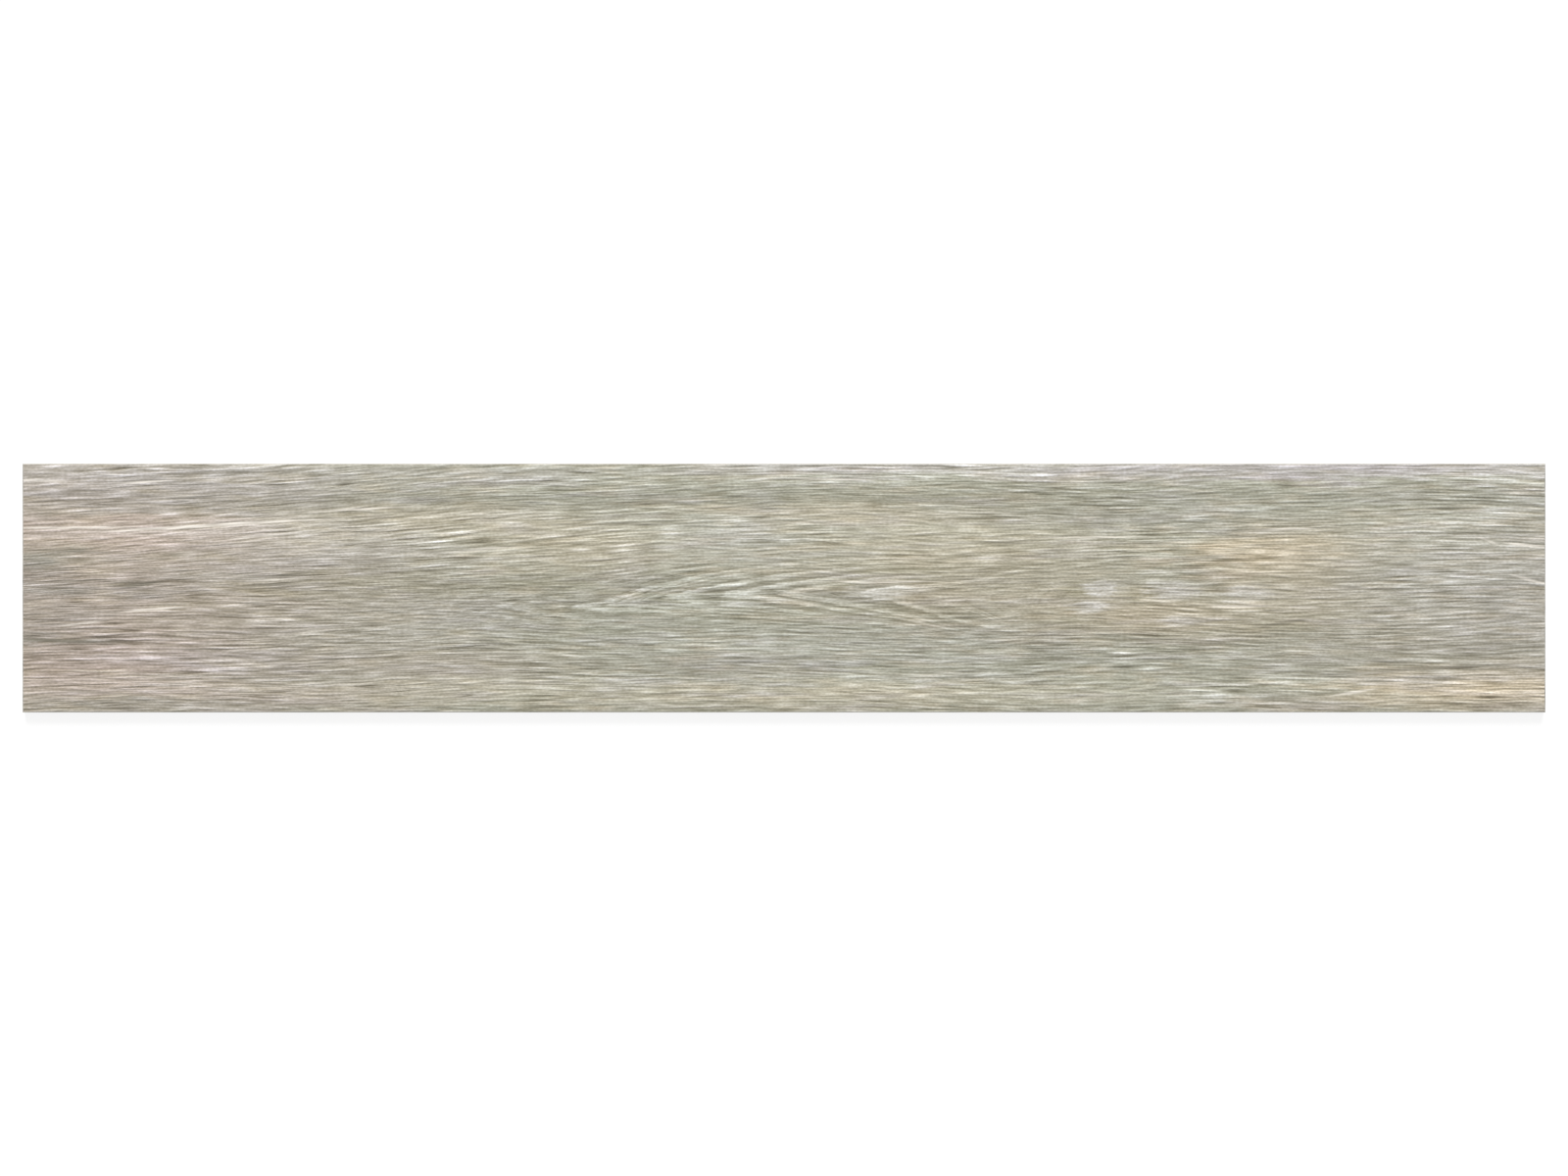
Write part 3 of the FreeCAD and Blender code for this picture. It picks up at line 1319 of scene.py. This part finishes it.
    def lay_map(self, mesh: bpy.types.Mesh) -> None:
        """Lays out the bake map: most of the square for the face, then the back, then the sides.

        Args:
            mesh: The finished tile's mesh.
        """
        places = mesh.uv_layers.new(name=BAKE_MAP).data
        for polygon in mesh.polygons:
            skin = Skin(polygon.material_index)
            middle = polygon.center
            for loop in polygon.loop_indices:
                co = mesh.vertices[mesh.loops[loop].vertex_index].co
                along = co.x / self.half.x / 2 + 0.5
                across = co.y / self.half.y / 2 + 0.5
                up = co.z / self.face_level
                if skin is Skin.FACE:
                    u, row, v = along, self.map_face, across
                elif skin is Skin.BACK:
                    u, row, v = along, self.map_back, across
                elif self.half.x - abs(middle.x) < self.half.y - abs(middle.y):
                    start = 1 - self.map_end_share if middle.x > 0 else 0.0
                    u, row, v = start + self.map_end_share * across, self.map_ends, up
                else:
                    u, row, v = along, self.map_far_side if middle.y > 0 else self.map_near_side, up
                wide = 1 - 2 * self.map_margin
                places[loop].uv = (self.map_margin + wide * u, row[0] + (row[1] - row[0]) * v)


@dataclass
class Studio:
    """The pale floor, the soft lamps and the camera straight above the face."""

    # In pixels of the photograph: the plank's length, and the picture's width
    plank_pixels: float = 1554.1
    picture_pixels: float = 1600.0
    # In millimetres, for the camera
    lens: float = 100.0
    # The floor: half its size, how far it lies under the tile, and how far it reaches in under its edge
    floor_half: float = 4.0
    floor_gap: float = 0.1 * MM
    floor_inset: float = 2 * MM
    # The floor's grey as the tile sees it and as the camera does, and the glow that makes the latter white
    floor_bounce: float = 0.65
    floor_seen: float = 0.26
    floor_glow: float = 0.8
    floor_roughness: float = 0.9
    # The key lamp's height over the floor and its width in degrees, and its share of a flat face's light
    key_height: float = 36.0
    key_spread: float = 30.0
    key_share: float = 0.5
    # The height of the like lamp that shines up at the back through the open floor
    below_height: float = -40.0
    lamp_distance: float = 3.0

    def camera(self, tile: PlankTile) -> None:
        """Hangs the camera where the face fills as much of the picture as in the photograph.

        Args:
            tile: The tile that it looks at.
        """
        data = bpy.data.cameras.new("camera")
        data.lens = self.lens
        width = 2 * tile.half.x * self.picture_pixels / self.plank_pixels
        distance = width * self.lens / data.sensor_width
        camera = bpy.data.objects.new("camera", data)
        camera.location = (0, 0, tile.face_level + distance)
        bpy.context.scene.collection.objects.link(camera)
        bpy.context.scene.camera = camera

    def lamp(self, name: str, height: float) -> None:
        """Adds a soft lamp on the +Y side, which makes a flat face as bright as the key lamp's share.

        Args:
            name: What it is called.
            height: Its height over the floor in degrees, below nought for one under it.
        """
        data = bpy.data.lights.new(name, "SUN")
        data.angle = math.radians(self.key_spread)
        data.energy = self.key_share * math.pi / abs(math.sin(math.radians(height)))
        lamp = bpy.data.objects.new(name, data)
        place = Vector((0.0, math.cos(math.radians(height)), math.sin(math.radians(height))))
        lamp.rotation_euler = place.to_track_quat("Z", "Y").to_euler()
        lamp.location = self.lamp_distance * place
        bpy.context.scene.collection.objects.link(lamp)

    def world(self) -> None:
        """Lights everything evenly, and shows white behind the floor."""
        world = bpy.data.worlds.new("world")
        bpy.context.scene.world = world
        world.use_nodes = True
        world.node_tree.nodes.clear()
        nodes = Nodes(world.node_tree)
        seen = Value(nodes, nodes.add("ShaderNodeLightPath").outputs["Is Camera Ray"])
        strength = (1 - self.key_share) + self.key_share * seen
        shader = nodes.add("ShaderNodeBackground", None, {"Color": (1, 1, 1, 1), "Strength": strength})
        nodes.add("ShaderNodeOutputWorld", None, {"Surface": Value(nodes, shader.outputs[0])})

    def floor(self, tile: PlankTile) -> None:
        """Lays the white floor, which takes the tile's shadow.

        It is open under the tile, a little inside its outline, and clear when seen from below, so that
        the keyed back can be looked at as well.

        Args:
            tile: The tile that lies on it.
        """
        mesh = bpy.data.meshes.new("floor")
        inner = tile.half - Vector((self.floor_inset, self.floor_inset))
        outer = Vector((self.floor_half, self.floor_half))
        turns = ((-1, -1), (1, -1), (1, 1), (-1, 1))
        reaches = (inner, outer)
        corners = [(x * reach.x, y * reach.y, -self.floor_gap) for reach in reaches for x, y in turns]
        sides = [(index, index + 4, (index + 1) % 4 + 4, (index + 1) % 4) for index in range(4)]
        mesh.from_pydata(corners, [], sides)
        material, nodes, shader = new_material("floor_white")
        seen = Value(nodes, nodes.add("ShaderNodeLightPath").outputs["Is Camera Ray"])
        greys = [(grey, grey, grey, 1.0) for grey in (self.floor_bounce, self.floor_seen)]
        colour = nodes.mix(seen, *greys)
        nodes.tree.links.new(colour.socket, shader.inputs["Base Color"])
        glow = self.floor_glow * seen
        nodes.tree.links.new(glow.socket, shader.inputs["Emission Strength"])
        shader.inputs["Emission Color"].default_value = (1, 1, 1, 1)
        shader.inputs["Roughness"].default_value = self.floor_roughness
        behind = Value(nodes, nodes.add("ShaderNodeNewGeometry").outputs["Backfacing"])
        nodes.tree.links.new((1 - behind).socket, shader.inputs["Alpha"])
        mesh.materials.append(material)
        floor = bpy.data.objects.new("floor", mesh)
        bpy.context.scene.collection.objects.link(floor)

    def build(self, tile: PlankTile) -> None:
        """Sets the whole studio up round the tile.

        Args:
            tile: The finished tile.
        """
        self.floor(tile)
        self.world()
        self.lamp("window", self.key_height)
        self.lamp("window_below", self.below_height)
        self.camera(tile)
        bpy.context.scene.view_settings.view_transform = "Standard"


def main() -> None:
    """Builds the tile and its studio."""
    logging.basicConfig(level=logging.INFO, format="%(name)s: %(message)s")
    tile = PlankTile(GrainFigure())
    piece = tile.build()
    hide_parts(NODE)
    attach(piece, BODY)
    triangles = sum(len(polygon.vertices) - 2 for polygon in piece.data.polygons)
    log.info("%s: %d triangles, relief %.2f mm", PIECE, triangles, tile.relief / MM)
    Studio().build(tile)


if __name__ == "__main__":
    main()
